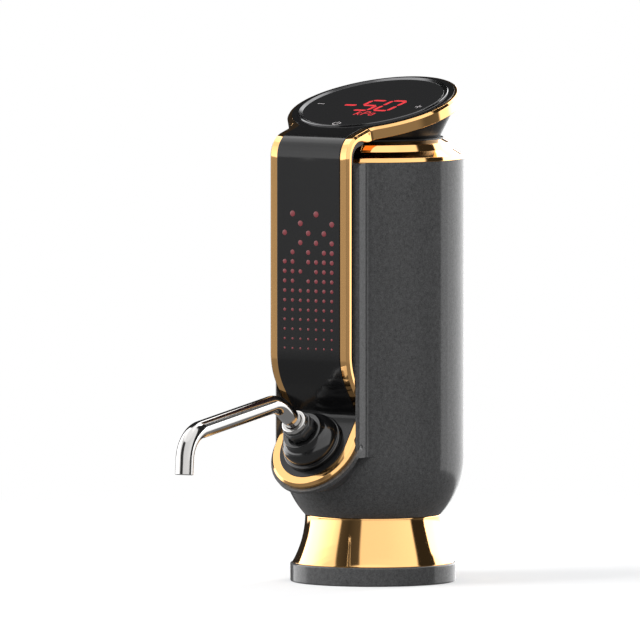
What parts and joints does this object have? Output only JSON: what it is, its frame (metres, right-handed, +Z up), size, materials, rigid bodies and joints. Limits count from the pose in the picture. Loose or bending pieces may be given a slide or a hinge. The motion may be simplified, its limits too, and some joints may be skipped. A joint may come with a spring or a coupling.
{
  "type": "wine preservation dispenser",
  "caption": "Battery wine dispenser that sits on a bottle neck, with tilted round display, dotted front strap and swivelling bent spout.",
  "frame": {"origin": "centre of the base ring's underside, at the mouth of the bottle neck bore", "axes": "+Z up along the body, -Y towards the spout, +X to the right seen from the spout"},
  "size_m": [0.06, 0.1392, 0.1658],
  "materials": {
    "shell_paint": "dark grey metallic paint, fine grain",
    "gold_plate": "polished gold plating",
    "panel_gloss": "piano black",
    "black_plastic": "moulded, fine texture",
    "display_glass": "black printed glass, glossy",
    "bright_steel": "polished",
    "indicator_red": "red light pipe",
    "boot_rubber": "black rubber, satin",
    "silicone": "food grade silicone, satin",
    "white_plastic": "moulded",
    "motor_steel": "zinc plated",
    "magnet": "sintered",
    "bush_bronze": "sintered bronze",
    "board": "green solder mask",
    "chip": "moulded package",
    "cell_wrap": "shrink film",
    "hose": "clear tubing",
    "screw_steel": "zinc plated"
  },
  "bodies": {
    "housing": {"body_shell": "shell_paint", "base_ring": "shell_paint", "base_skirt": "gold_plate", "neck_socket": "black_plastic", "neck_seal": "silicone", "mouth_gasket": "silicone", "straw_port": "white_plastic", "port_block": "white_plastic", "port_screws": "screw_steel", "trim_frame": "gold_plate", "front_panel": "panel_gloss", "led_lenses": "indicator_red", "strap_carrier": "black_plastic", "led_board": "board", "head_housing": "black_plastic", "display_lens": "display_glass", "display_ring": "bright_steel", "display_board": "board", "display_module": "chip", "shoulder_ring": "gold_plate", "head_screws": "screw_steel", "spout_boot": "boot_rubber", "spout_nut": "boot_rubber", "spout_seat": "white_plastic", "spout_orings": "silicone", "wine_hose": "hose", "air_hose": "hose", "pump_hose": "hose", "chassis": "white_plastic", "chassis_screws": "screw_steel", "pump_damper": "silicone", "pump_head": "black_plastic", "pump_diaphragm": "boot_rubber", "motor_can": "motor_steel", "motor_magnets": "magnet", "motor_bushes": "bush_bronze", "valve_body": "black_plastic", "valve_spring": "motor_steel", "battery_holder": "black_plastic", "battery_cell": "cell_wrap", "battery_contacts": "motor_steel", "main_board": "board", "board_screws": "screw_steel", "board_chips": "chip", "pressure_sensor": "white_plastic", "buzzer": "chip", "display_cable": "chip", "usb_board": "board", "usb_connector": "motor_steel"},
    "collar": {"spout_collar": "bright_steel"},
    "spout": {"spout_tube": "bright_steel"},
    "rotor": {"motor_rotor": "motor_steel"},
    "plunger": {"valve_plunger": "motor_steel"}
  },
  "joints": [
    {"name": "spout_swivel", "type": "hinge", "parent": "housing", "child": "collar", "pos_m": [0, -0.03386, 0.04704], "axis": [0, -0.809, 0.5878], "range_deg": [-60, 60]},
    {"name": "spout_release", "type": "slide", "parent": "collar", "child": "spout", "axis": [0, -0.809, 0.5878], "range_m": [0, 0.022]},
    {"name": "motor_spin", "type": "hinge", "parent": "housing", "child": "rotor", "pos_m": [-0.0035, -0.003, 0.073], "axis": [0, 0, 1], "continuous": true},
    {"name": "valve_lift", "type": "slide", "parent": "housing", "child": "plunger", "axis": [0, 0, 1], "range_m": [0, 0.0015], "stiffness_N_per_m": 300, "springref_m": -0.003, "deforming": ["valve_spring"]}
  ]
}
